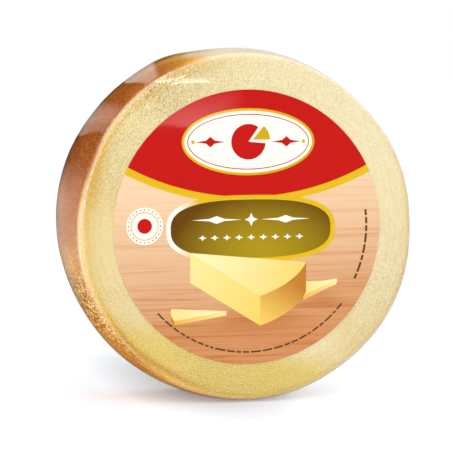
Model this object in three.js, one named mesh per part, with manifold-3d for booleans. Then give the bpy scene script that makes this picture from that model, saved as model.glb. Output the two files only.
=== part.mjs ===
// A smoked cheese wheel in a tight clear bag, standing on its rim, with a round label on one face.
//
// Millimetres, +Z up. The wheel's axis lies along Y, and the labelled face looks towards -Y. The
// origin is on the floor, under the middle of the whole.
import * as THREE from "three";
import { mergeVertices } from "three/addons/utils/BufferGeometryUtils.js";
import Module from "manifold-3d";

// Driving dimensions.
const wheelRadius = 125; // at the widest ring, halfway through the thickness
const wheelThickness = 90;
const sideBulge = 3; // how far the side swells between its two shoulders
const shoulderRadius = 7.5;
const flatFaceRadius = 99; // the pressed face is flat this far out, then rolls off to the shoulder
const faceRollOff = 1.0;
const footWidth = 42; // chord of the flat spot that the wheel rests on

const labelRadius = 96.5;
const labelThickness = 0.4;
const labelGap = 0.3;

// Unevenness of a wheel formed by hand: waves in its outline, and in how high its faces stand.
const outlineWaves = [
  { lobes: 2, height: 1.3, phaseDeg: 116 },
  { lobes: 3, height: 0.4, phaseDeg: 20 },
  { lobes: 7, height: 0.2, phaseDeg: 75 },
];
const faceWaves = [
  { lobes: 1, height: 0.5, phaseDeg: 250 },
  { lobes: 4, height: 0.3, phaseDeg: 35 },
];

// How finely the curves are faceted.
const segmentsRound = 96;
const shoulderSteps = 6;
const sideSteps = 8;
const rollOffSteps = 3;
const flatFaceSteps = 2;

const halfThickness = wheelThickness / 2;
const sideRadius = wheelRadius - sideBulge; // where the side meets a shoulder
const shoulderCentreRadius = sideRadius - shoulderRadius;
const shoulderCentreY = halfThickness - faceRollOff - shoulderRadius;

// Evenly spaced shares from 0 to 1, without the 0.
const shares = (count) => Array.from({ length: count }, (_, i) => (i + 1) / count);

// The sum of a list of waves at an angle round the axis.
const waveHeight = (waves, angle) =>
  waves.reduce(
    (sum, { lobes, height, phaseDeg }) =>
      sum + height * Math.cos(lobes * (angle - THREE.MathUtils.degToRad(phaseDeg))),
    0,
  );

// Half of the wheel's section, from the middle of a face to the widest ring, as (radius, height
// above the middle plane).
function halfSection() {
  const points = [new THREE.Vector2(0, halfThickness)];
  for (const t of shares(flatFaceSteps)) {
    points.push(new THREE.Vector2(flatFaceRadius * t, halfThickness));
  }
  for (const t of shares(rollOffSteps)) {
    points.push(
      new THREE.Vector2(
        THREE.MathUtils.lerp(flatFaceRadius, shoulderCentreRadius, t),
        halfThickness - faceRollOff * t * t,
      ),
    );
  }
  for (const t of shares(shoulderSteps)) {
    const turn = (t * Math.PI) / 2;
    points.push(
      new THREE.Vector2(
        shoulderCentreRadius + shoulderRadius * Math.sin(turn),
        shoulderCentreY + shoulderRadius * Math.cos(turn),
      ),
    );
  }
  for (const t of shares(sideSteps)) {
    points.push(
      new THREE.Vector2(sideRadius + sideBulge * (1 - (1 - t) ** 2), shoulderCentreY * (1 - t)),
    );
  }
  return points;
}

// Moves the points of a turned wheel off the true round.
function makeUneven(geometry) {
  const position = geometry.getAttribute("position");
  for (let i = 0; i < position.count; i++) {
    const x = position.getX(i);
    const y = position.getY(i);
    const z = position.getZ(i);
    const radius = Math.hypot(x, z);
    const angle = Math.atan2(z, x);
    const swell = 1 + waveHeight(outlineWaves, angle) / wheelRadius;
    const rimShare = THREE.MathUtils.smoothstep(radius, flatFaceRadius, sideRadius);
    const lift = (rimShare * waveHeight(faceWaves, angle) * y) / halfThickness;
    position.setXYZ(i, x * swell, y + lift, z * swell);
  }
}

// A closed geometry as a solid for cutting.
function solidOf(wasm, geometry) {
  const bare = geometry.clone();
  bare.deleteAttribute("normal");
  bare.deleteAttribute("uv");
  const merged = mergeVertices(bare);
  return new wasm.Manifold(
    new wasm.Mesh({
      numProp: 3,
      vertProperties: merged.getAttribute("position").array,
      triVerts: new Uint32Array(merged.index.array),
    }),
  );
}

// A cut solid as a geometry again.
function geometryOf(solid) {
  const mesh = solid.getMesh();
  const geometry = new THREE.BufferGeometry();
  geometry.setAttribute("position", new THREE.BufferAttribute(mesh.vertProperties, 3));
  geometry.setIndex(new THREE.BufferAttribute(mesh.triVerts, 1));
  geometry.computeVertexNormals();
  return geometry;
}

// The cheese with the clear bag shrunk tight on it: one solid, cut flat where it stands.
function wrappedCheese(wasm) {
  const upper = halfSection();
  const lower = upper
    .slice(0, -1)
    .map(({ x, y }) => new THREE.Vector2(x, -y))
    .reverse();
  const section = [...lower.reverse(), ...upper.reverse()];
  const turned = new THREE.LatheGeometry(section, segmentsRound);
  makeUneven(turned);

  const bottomRadius = wheelRadius + waveHeight(outlineWaves, -Math.PI / 2);
  const footHeight = Math.sqrt(bottomRadius ** 2 - (footWidth / 2) ** 2);
  const cutSize = 2 * wheelRadius;
  const floor = new THREE.BoxGeometry(cutSize, cutSize, cutSize);
  floor.translate(0, 0, -footHeight - cutSize / 2);
  const standing = solidOf(wasm, turned).subtract(solidOf(wasm, floor));

  const mesh = new THREE.Mesh(
    geometryOf(standing),
    new THREE.MeshStandardMaterial({ color: 0xe8d9a2, roughness: 0.3, metalness: 0 }),
  );
  mesh.name = "wrapped_cheese";
  return mesh;
}

// The round label, stuck on the bag over the flat of the front face.
function frontLabel() {
  const mesh = new THREE.Mesh(
    new THREE.CylinderGeometry(labelRadius, labelRadius, labelThickness, segmentsRound),
    new THREE.MeshStandardMaterial({ color: 0xf2c49a, roughness: 0.35, metalness: 0 }),
  );
  mesh.name = "label";
  mesh.position.y = -(halfThickness + labelGap + labelThickness / 2);
  return mesh;
}

const wasm = await Module();
wasm.setup();

const wheel = new THREE.Group();
wheel.add(wrappedCheese(wasm), frontLabel());

// Stands the whole on the floor, centred over the origin.
const bounds = new THREE.Box3().setFromObject(wheel, true);
wheel.position.set(
  -(bounds.min.x + bounds.max.x) / 2,
  -(bounds.min.y + bounds.max.y) / 2,
  -bounds.min.z,
);

const part = new THREE.Group();
part.add(wheel);

export default part;
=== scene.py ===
import math

import bpy
import numpy as np
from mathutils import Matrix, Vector, noise
from mathutils.geometry import delaunay_2d_cdt


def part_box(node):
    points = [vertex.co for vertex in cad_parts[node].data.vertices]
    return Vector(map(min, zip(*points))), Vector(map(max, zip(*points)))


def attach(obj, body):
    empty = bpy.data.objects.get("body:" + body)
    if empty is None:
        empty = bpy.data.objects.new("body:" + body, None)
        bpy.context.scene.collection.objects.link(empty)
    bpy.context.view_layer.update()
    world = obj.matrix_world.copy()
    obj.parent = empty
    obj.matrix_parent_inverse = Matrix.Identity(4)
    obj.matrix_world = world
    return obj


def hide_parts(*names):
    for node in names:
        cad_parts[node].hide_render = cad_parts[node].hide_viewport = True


# The frame: the solid of the wrapped wheel and the solid of its label, standing on the floor.
# The label's disc is concentric with the wheel, whose axis runs along Y.
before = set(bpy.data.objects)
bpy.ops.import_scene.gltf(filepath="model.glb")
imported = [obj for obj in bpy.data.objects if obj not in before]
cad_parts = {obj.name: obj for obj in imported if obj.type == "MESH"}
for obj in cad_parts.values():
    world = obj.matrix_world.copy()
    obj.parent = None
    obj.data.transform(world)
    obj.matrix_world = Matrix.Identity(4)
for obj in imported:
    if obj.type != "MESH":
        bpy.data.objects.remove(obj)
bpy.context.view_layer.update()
wheel_low, wheel_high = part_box("wrapped_cheese")
label_low, label_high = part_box("label")
axis_x = (label_low.x + label_high.x) / 2
axis_z = (label_low.z + label_high.z) / 2
middle_y = (wheel_low.y + wheel_high.y) / 2
half_thickness = (wheel_high.y - wheel_low.y) / 2
floor_z = wheel_low.z


# ---------------------------------------------------------------------------------------------
# The cheese. A provolone pressed in a round mould and hung in smoke: cream-coloured faces with
# a leathery skin, and a side that the smoke has turned amber and brown. It fills the bag, so it
# lies just under the film everywhere, and its own weight has flattened it where it stands.
wheel_radius = 0.125
side_bulge = 0.003
shoulder_radius = 0.0075
flat_radius = 0.099
face_roll_off = 0.001
outline_waves = ((2, 0.0013, 116), (3, 0.0004, 20), (7, 0.0002, 75))  # lobes, height, degrees
face_waves = ((1, 0.0005, 250), (4, 0.0003, 35))
film_clearance = 0.00012
# How far hand pressing has pushed the two shoulders out of round at each bearing round the
# wheel, in degrees from +X towards +Z.
front_swell = (
    (-58, 0.0), (-45, 0.0010), (-32, 0.0017), (-18, 0.0018), (0, 0.0005), (20, 0.0006),
    (45, 0.0), (170, 0.0), (184, 0.0006), (196, 0.0018), (212, 0.0018), (224, 0.0010),
    (238, 0.0),
)
back_swell = (
    (45, 0.0), (77, 0.0016), (86, 0.0009), (94, 0.0002), (101, 0.0006), (110, 0.0033),
    (123, 0.0005), (140, 0.0), (155, 0.0010), (190, 0.0009), (212, 0.0),
)
# How dark the smoke has left the side, and how much it has tanned the face.
smoke_by_bearing = (
    (-60, 0.0), (-40, 0.10), (-15, 0.36), (15, 0.30), (40, 0.03), (98, 0.06), (106, 0.35),
    (113, 0.74), (126, 0.85), (140, 0.87), (148, 0.97), (157, 0.97), (164, 0.87), (178, 0.83),
    (200, 0.60), (212, 0.55), (228, 0.66), (245, 0.42), (270, 0.28), (285, 0.22),
)
tan_by_bearing = (
    (0, 0.62), (15, 0.50), (32, 0.12), (60, 0.10), (92, 0.10), (104, 0.40), (120, 0.62),
    (135, 0.0), (150, 0.50), (165, 1.3), (180, 0.75), (200, 0.50), (225, 0.28), (250, 0.10),
    (270, 0.20), (285, 0.45), (298, 0.45), (315, 1.45), (335, 0.70),
)
# How much more the face is tanned along its edge.
edge_tan = (
    (-75, 0.10), (-40, 0.16), (0, 0.10), (60, 0.0), (100, 0.68), (162, 0.68), (180, 0.42),
    (200, 0.60), (235, 0.68), (265, 0.20),
)
# How much darker the front shoulder is painted than the rest of the side, as painted shade.
shoulder_painted_shade = (
    (200, 0.0), (212, 0.20), (228, 0.28), (236, 0.18), (246, 0.0),
)
# How far from the edge of the face the smoke starts on the side, in metres.
smoke_margin = (
    (100, 0.0), (112, 0.0003), (121, 0.0011), (130, 0.0005), (144, 0.0012), (154, -0.0008),
    (162, -0.0006), (172, 0.0024), (186, 0.0032), (200, 0.0016), (210, 0.0), (220, -0.0010),
    (230, -0.0010), (242, 0.0),
)
# A golden band lies just inside the edge of the face, partly the cheese's colour and partly painted
# shade from the film's fold: how strong it is, how far in, how wide.
gold_and_fold_shade_by_bearing = (
    (-70, 0.05), (-30, 0.22), (0, 0.52), (20, 0.42), (40, 0.06), (60, 0.0), (92, 0.0),
    (108, 0.50), (120, 0.22), (130, 0.62), (138, 0.40), (148, 0.75), (158, 1.25), (166, 0.75),
    (184, 0.20), (196, 0.50), (208, 0.80), (218, 1.5), (232, 1.5), (244, 1.3), (262, 0.4),
    (290, 0.0),
)
gold_and_fold_shade_inset = (
    (0, 0.0002), (40, 0.0004), (100, 0.0036), (120, 0.0046), (132, 0.0048), (140, 0.0038),
    (148, 0.0037), (156, 0.0048), (172, 0.0046), (200, 0.0034), (214, 0.0036), (222, 0.0036),
    (230, 0.0038), (240, 0.0044), (262, 0.0036), (300, 0.0020),
)
gold_and_fold_shade_width = (
    (104, 0.0019), (120, 0.0028), (134, 0.0028), (144, 0.0019), (200, 0.0019), (220, 0.0026),
    (236, 0.0030), (250, 0.0026), (265, 0.0019),
)
# How strongly the skin is crazed with fine wrinkles, on the face and on the side, with their painted
# shade and glints.
face_crazing = (
    (10, 0.12), (45, 0.35), (75, 0.46), (100, 0.53), (114, 0.80), (121, 0.98), (128, 0.82),
    (136, 0.60), (153, 0.48), (166, 0.42), (180, 0.06), (192, 0.18), (206, 0.68), (232, 0.60),
    (252, 0.90), (272, 0.85), (292, 0.65), (312, 0.30), (335, 0.55),
)
side_crazing = (
    (90, 0.35), (116, 0.08), (184, 0.08), (194, 0.40), (203, 1.2), (212, 1.1), (222, 0.50),
    (232, 0.18), (250, 0.15), (340, 0.25),
)
# On the left and along the foot the wrinkles run in rows, as dimples.
dimpled_by_bearing = (
    (185, 0.0), (205, 0.6), (240, 0.8), (285, 0.8), (310, 0.3), (330, 0.0),
)
# How much the face shows pale lines that run along its edge, where the bag was drawn tight.
lined_by_bearing = (
    (-80, 0.0), (-45, 0.55), (-10, 1.0), (25, 0.7), (60, 0.25), (85, 0.0),
)

even_within = (0.062, 0.097)  # between these radii a face turns as uneven as its edge
tanned_from = (-0.017, -0.003)  # past the shoulder, where the edge's tan sets in and is full
face_tan = 0.32  # the share of the tan that the whole face has
smoke_soft = (-0.0026, 0.0022)  # past the smoke's margin, where the smoke sets in and is full
# How far the front shoulder's painted shade reaches along the section.
shoulder_painted_shade_reach = 0.0035
smoke_drift = math.radians(10)  # how far the smoke's edge wanders as it crosses the side
drift_size = 0.035
drifts_from = (0.004, 0.030)  # past the shoulder, where the wandering sets in and is full
# The skin's unevenness: how wide its bumps are and how high.
dent_size, dent_depth = 0.045, 0.0003
dimple_size, dimple_depth = 0.014, 0.00015
crease_size, crease_depth = 0.009, 0.00008

section_step = 0.00025
section_softness = 0.003  # the corner between shoulder and side is rounded over this length
side_start = 0.0022  # the shoulder ends where the radius is within this of the side's


def softened(values, window):
    """A running mean that keeps the two ends where they are."""
    before = 2 * values[0] - values[window:0:-1]
    after = 2 * values[-1] - values[-2 : -window - 2 : -1]
    padded = np.concatenate([before, values, after])
    weights = np.hanning(window + 2)[1:-1]
    mean = np.convolve(padded, weights / weights.sum(), mode="same")
    return mean[window:-window]


def by_bearing(table, turns):
    """A value given at some bearings, blended smoothly over all these turns of the wheel."""
    bearings, values = zip(*table)
    values = np.interp(np.degrees(turns), bearings, values, period=360)
    count = len(turns)
    return softened(np.concatenate([values, values, values]), count // 32)[count : 2 * count]


def wave_height(waves, angles):
    """The sum of some waves round the wheel's axis, at these angles."""
    return sum(h * np.cos(n * (angles - math.radians(phase))) for n, h, phase in waves)


def half_section():
    """Half of the wheel's section as radius and height over its middle plane, face first."""
    side_radius = wheel_radius - side_bulge
    bend_radius = side_radius - shoulder_radius
    bend_height = half_thickness - face_roll_off - shoulder_radius
    flat = np.linspace(0, 1, 400)
    roll = np.linspace(0, 1, 80)[1:]
    bend = np.linspace(0, math.pi / 2, 60)[1:]
    side = np.linspace(0, 1, 200)[1:]
    radii = [
        flat_radius * flat,
        flat_radius + (bend_radius - flat_radius) * roll,
        bend_radius + shoulder_radius * np.sin(bend),
        side_radius + side_bulge * (1 - (1 - side) ** 2),
    ]
    heights = [
        half_thickness + 0 * flat,
        half_thickness - face_roll_off * roll**2,
        bend_height + shoulder_radius * np.cos(bend),
        bend_height * (1 - side),
    ]
    return np.concatenate(radii), np.concatenate(heights)


def whole_section():
    """The section from the front face's middle to the back's: lengths along it, radii, heights."""
    radii, heights = half_section()
    radii = np.concatenate([radii, radii[-2::-1]])
    heights = np.concatenate([heights, -heights[-2::-1]])
    run = np.concatenate([[0], np.cumsum(np.hypot(np.diff(radii), np.diff(heights)))])
    lengths = np.linspace(0, run[-1], int(run[-1] / section_step) + 1)
    window = int(section_softness / section_step)
    radii = softened(np.interp(lengths, run, radii), window)
    heights = softened(np.interp(lengths, run, heights), window)
    return lengths, radii, heights


section_lengths, section_radii, section_heights = whole_section()
slope_r = np.gradient(section_radii, section_lengths)
slope_h = np.gradient(section_heights, section_lengths)
section_normals_r = -slope_h / np.hypot(slope_r, slope_h)
section_normals_h = slope_r / np.hypot(slope_r, slope_h)
section_end = section_lengths[-1]
on_side = section_radii > wheel_radius - side_bulge - side_start
front_shoulder = section_lengths[np.argmax(on_side)]
back_shoulder = section_end - front_shoulder


def stations(bands):
    """Lengths along the section for a mesh's rings, from bands of (where the band ends, step)."""
    lengths = [0.0]
    for end, step in bands:
        count = max(1, round((end - lengths[-1]) / step))
        lengths += list(np.linspace(lengths[-1], end, count + 1)[1:])
    return np.array(lengths)


def wheel_points(lengths, angles, raised):
    """Points of the wheel's surface, raised along its normal, as an array of (angle, length, xyz)."""
    radius, height, normal_r, normal_h = (
        np.interp(lengths, section_lengths, values)[None, :]
        for values in (section_radii, section_heights, section_normals_r, section_normals_h)
    )
    turn = angles[:, None]
    frontness = 0.5 + 0.5 * height / half_thickness
    pressed = by_bearing(front_swell, angles)[:, None] * frontness
    pressed = pressed + by_bearing(back_swell, angles)[:, None] * (1 - frontness)
    swell = 1 + (wave_height(outline_waves, turn) + pressed) / wheel_radius
    share = np.clip((radius - flat_radius) / (wheel_radius - side_bulge - flat_radius), 0, 1)
    lift = share**2 * (3 - 2 * share) * wave_height(face_waves, turn) * height / half_thickness
    out = radius * swell + normal_r * raised
    front = height + lift + normal_h * raised
    places = [axis_x + out * np.cos(turn), middle_y - front, axis_z + out * np.sin(turn)]
    return np.stack(places, axis=-1)


def relief_of(points, size, octaves=1, ridged=False):
    """Smooth noise from 0 to 1 at an array of points, with bumps about as wide as size."""
    flat = (points.reshape(-1, 3) / size).tolist()
    if octaves > 1:
        values = [noise.fractal(p, 0.8, 2.0, octaves) for p in flat]
    else:
        values = [noise.noise(p) for p in flat]
    values = np.array(values).reshape(points.shape[:-1])
    return 1 - np.abs(values) * 2 if ridged else np.clip(0.5 + values / 1.4, 0, 1)


def placed(name, data):
    """A new object in the scene, with this data."""
    made = bpy.data.objects.new(name, data)
    bpy.context.collection.objects.link(made)
    return made


def turned_mesh(name, points, attributes):
    """A closed mesh from rings of points, the first and last ring being the poles."""
    turns, rings = points.shape[:2]
    body = points[:, 1:-1].reshape(-1, 3)
    vertices = np.concatenate([body, points[:1, 0], points[:1, -1]])
    inner = rings - 2
    index = np.arange(turns * inner).reshape(turns, inner)
    beside = np.roll(index, -1, axis=0)
    quads = np.stack([index[:, :-1], index[:, 1:], beside[:, 1:], beside[:, :-1]], axis=-1)
    front, back = turns * inner, turns * inner + 1
    caps = [(front, a, b) for a, b in zip(index[:, 0].tolist(), beside[:, 0].tolist())]
    caps += [(back, b, a) for a, b in zip(index[:, -1].tolist(), beside[:, -1].tolist())]
    mesh = bpy.data.meshes.new(name)
    mesh.from_pydata(vertices.tolist(), [], quads.reshape(-1, 4).tolist() + caps)
    for attribute, values in attributes.items():
        filled = np.broadcast_to(values, (turns, rings))
        ends = [filled[0, 0], filled[0, -1]]
        data = np.concatenate([filled[:, 1:-1].ravel(), ends]).astype(np.float32)
        mesh.attributes.new(attribute, "FLOAT", "POINT").data.foreach_set("value", data)
    mesh.shade_smooth()
    mesh.validate()
    return placed(name, mesh)


def smooth_step(low, high, values):
    """0 below low, 1 above high, and a smooth ramp between them."""
    share = np.clip((values - low) / (high - low), 0, 1)
    return share**2 * (3 - 2 * share)


def node(tree, kind, inputs=(), **settings):
    """Adds a shader node, with values or links for its inputs by name or number."""
    made = tree.nodes.new(kind)
    for key, value in settings.items():
        setattr(made, key, value)
    for key, value in dict(inputs).items():
        if isinstance(value, bpy.types.NodeSocket):
            tree.links.new(value, made.inputs[key])
        else:
            made.inputs[key].default_value = value
    return made


def new_material(name):
    """An empty node material, and its tree."""
    material = bpy.data.materials.new(name)
    material.use_nodes = True
    material.node_tree.nodes.clear()
    return material, material.node_tree


def object_place(tree):
    """The shaded point's place, in metres."""
    return node(tree, "ShaderNodeTexCoord").outputs["Object"]


def surfaced(tree, surface):
    """Gives a material its surface."""
    node(tree, "ShaderNodeOutputMaterial", {"Surface": surface.outputs[0]})


def painted(tree, name):
    """What the mesh holds under this name, as a factor."""
    return node(tree, "ShaderNodeAttribute", attribute_name=name).outputs["Fac"]


def ramp(tree, factor, stops):
    """A colour ramp from (place, colour) stops, with plain RGB colours."""
    made = node(tree, "ShaderNodeValToRGB", {"Fac": factor})
    elements = made.color_ramp.elements
    while len(elements) < len(stops):
        elements.new(0.5)
    for element, (place, colour) in zip(elements, stops):
        element.position = place
        element.color = (*colour, 1)
    return made.outputs["Color"]


def mixed(tree, factor, first, second, blend="MIX"):
    """One colour mixed with another by a factor."""
    made = node(tree, "ShaderNodeMix", data_type="RGBA", blend_type=blend)
    for socket, value in ((0, factor), (6, first), (7, second)):
        if isinstance(value, bpy.types.NodeSocket):
            tree.links.new(value, made.inputs[socket])
        else:
            made.inputs[socket].default_value = value if socket == 0 else (*value, 1)
    return made.outputs[2]


def maths(tree, operation, first, second=0.0, clamp=False):
    """One maths node's result."""
    inputs = {0: first, 1: second}
    return node(tree, "ShaderNodeMath", inputs, operation=operation, use_clamp=clamp).outputs[0]


def times(tree, first, second, clamp=False):
    """Two values multiplied."""
    return maths(tree, "MULTIPLY", first, second, clamp)


def spots(tree, place, scale, detail=2.0, roughness=0.5, distortion=0.0):
    """Noise from 0 to 1 at a place, with this many spots a metre."""
    inputs = {
        "Vector": place,
        "Scale": scale,
        "Detail": detail,
        "Roughness": roughness,
        "Distortion": distortion,
    }
    return node(tree, "ShaderNodeTexNoise", inputs).outputs["Fac"]


def spread(tree, value, low, high):
    """A value remapped so that low becomes 0 and high becomes 1, clamped."""
    inputs = {"Value": value, "From Min": low, "From Max": high}
    return node(tree, "ShaderNodeMapRange", inputs).outputs["Result"]


def new_group(name, output, **inputs):
    """An empty shader node group with these inputs and one number as its output."""
    group = bpy.data.node_groups.new(name, "ShaderNodeTree")
    for title, kind in inputs.items():
        group.interface.new_socket(title, in_out="INPUT", socket_type=kind)
    group.interface.new_socket(output, in_out="OUTPUT", socket_type="NodeSocketFloat")
    return group, node(group, "NodeGroupInput").outputs


def unsteady(group, place, fineness, reach):
    """A place moved about by up to about reach, so that what is drawn there runs unevenly."""
    warp = node(group, "ShaderNodeTexNoise", {"Vector": place, "Scale": fineness, "Detail": 2.0})
    inputs = {0: warp.outputs["Color"], "Scale": reach}
    shift = node(group, "ShaderNodeVectorMath", inputs, operation="SCALE")
    return node(group, "ShaderNodeVectorMath", {0: place, 1: shift.outputs[0]}).outputs[0]


def leathery_skin():
    """A shader node group: the fine wrinkles of a cheese's dried skin, as a height from 0 to 1.
    Scale is how many there are in a metre."""
    group, given = new_group(
        "leathery_skin", "Height", Place="NodeSocketVector", Scale="NodeSocketFloat"
    )
    moved = unsteady(group, given["Place"], 90.0, 0.006)
    inputs = {"Vector": moved, "Scale": given["Scale"]}
    cells = node(group, "ShaderNodeTexVoronoi", inputs, feature="DISTANCE_TO_EDGE")
    ridges = maths(group, "MINIMUM", times(group, cells.outputs["Distance"], 3.0), 1.0)
    grain = spots(group, moved, 700.0, 3.0, 0.6)
    height = maths(group, "ADD", times(group, ridges, 0.6), times(group, grain, 0.4))
    node(group, "NodeGroupOutput", {"Height": height})
    return group


def streaks_round():
    """A shader node group: fine streaks that run round the wheel, from 0 to 1.
    Along is how many there are in a metre of the rim, Across how many in a metre across it."""
    number = "NodeSocketFloat"
    group, given = new_group(
        "streaks_round", "Streaks", Place="NodeSocketVector", Along=number, Across=number
    )
    split = node(group, "ShaderNodeSeparateXYZ", {0: given["Place"]})
    right = maths(group, "SUBTRACT", split.outputs["X"], axis_x)
    up = maths(group, "SUBTRACT", split.outputs["Z"], axis_z)
    flat = node(group, "ShaderNodeCombineXYZ", {0: right, 2: up})
    radius = node(group, "ShaderNodeVectorMath", {0: flat.outputs[0]}, operation="LENGTH")
    radius = radius.outputs["Value"]
    along = times(group, given["Along"], wheel_radius)
    reach = maths(group, "DIVIDE", along, maths(group, "MAXIMUM", radius, 0.001))
    depth = maths(group, "SUBTRACT", radius, split.outputs["Y"])
    inputs = {
        0: times(group, right, reach),
        1: times(group, depth, given["Across"]),
        2: times(group, up, reach),
    }
    rolled = node(group, "ShaderNodeCombineXYZ", inputs).outputs[0]
    node(group, "NodeGroupOutput", {"Streaks": spots(group, rolled, 1.0, 3.0, 0.6, 0.3)})
    return group


def crazing():
    """A shader node group: fine short wrinkles, as a height from 0 to 1.
    Wrinkles is how many there are in a metre along X, Y and Z."""
    vector = "NodeSocketVector"
    group, given = new_group("crazing", "Height", Place=vector, Wrinkles=vector)
    inputs = {"Vector": given["Place"], "Rotation": (0, math.radians(8), 0)}
    turned = node(group, "ShaderNodeMapping", inputs)
    inputs = {0: turned.outputs[0], 1: given["Wrinkles"]}
    drawn_out = node(group, "ShaderNodeVectorMath", inputs, operation="MULTIPLY")
    wrinkles = spots(group, drawn_out.outputs[0], 1.0, 1.0, 0.6, 0.6)
    node(group, "NodeGroupOutput", {"Height": spread(group, wrinkles, 0.30, 0.70)})
    return group


def dimples():
    """A shader node group: slightly uneven rows of small dimples, as a height from 0 to 1.
    Rows is how many there are in a metre."""
    group, given = new_group("dimples", "Height", Place="NodeSocketVector", Rows="NodeSocketFloat")
    moved = unsteady(group, given["Place"], 300.0, 0.0022)
    waves = []
    for slant in (math.radians(32), math.radians(-58)):
        inputs = {0: moved, 1: (math.cos(slant), 0.0, math.sin(slant))}
        run = node(group, "ShaderNodeVectorMath", inputs, operation="DOT_PRODUCT")
        turns = times(group, run.outputs["Value"], given["Rows"])
        waves.append(maths(group, "SINE", times(group, turns, 2 * math.pi)))
    height = times(group, waves[0], waves[1])
    height = maths(group, "ADD", times(group, height, 0.6), 0.5, clamp=True)
    node(group, "NodeGroupOutput", {"Height": height})
    return group


skin_wrinkles = leathery_skin()
skin_dimples = dimples()
rim_streaks = streaks_round()
skin_crazing = crazing()


def drawn_by(tree, group, place, **inputs):
    """What a shader node group draws at a place, in a material."""
    return node(tree, "ShaderNodeGroup", {"Place": place, **inputs}, node_tree=group).outputs[0]


def streaks(tree, place, along, across):
    """The streaks round the wheel, in a material."""
    return drawn_by(tree, rim_streaks, place, Along=along, Across=across)


cream = (0.875, 0.801, 0.548)
straw = (0.840, 0.732, 0.415)
old_gold = (0.80, 0.65, 0.18)
honey = (0.66, 0.47, 0.15)
# The golden band's colours, partly the cheese's own and partly painted shade from the film's fold:
band_gold_and_shade = (0.74, 0.48, 0.08)
darkest_fold_shade = (0.50, 0.26, 0.030)
pale_side = (0.95, 0.87, 0.69)
smoke_amber = (0.82, 0.39, 0.06)
smoke_brown = (0.375, 0.097, 0.015)
deep_brown = (0.31, 0.075, 0.011)
# The colour of the painted glints on the face's wrinkles.
face_painted_glint = (1.0, 0.93, 0.70)
pale_line = (0.88, 0.88, 0.78)
# The colour of the painted glints on the side's wrinkles.
side_painted_glint = (1.0, 0.78, 0.30)
# The colour of the painted shade in the deepest wrinkles.
wrinkle_shade_colour = (0.62, 0.42, 0.18)
gold_bearing = math.radians(257)  # the face is yellowest here, low on the left


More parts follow.
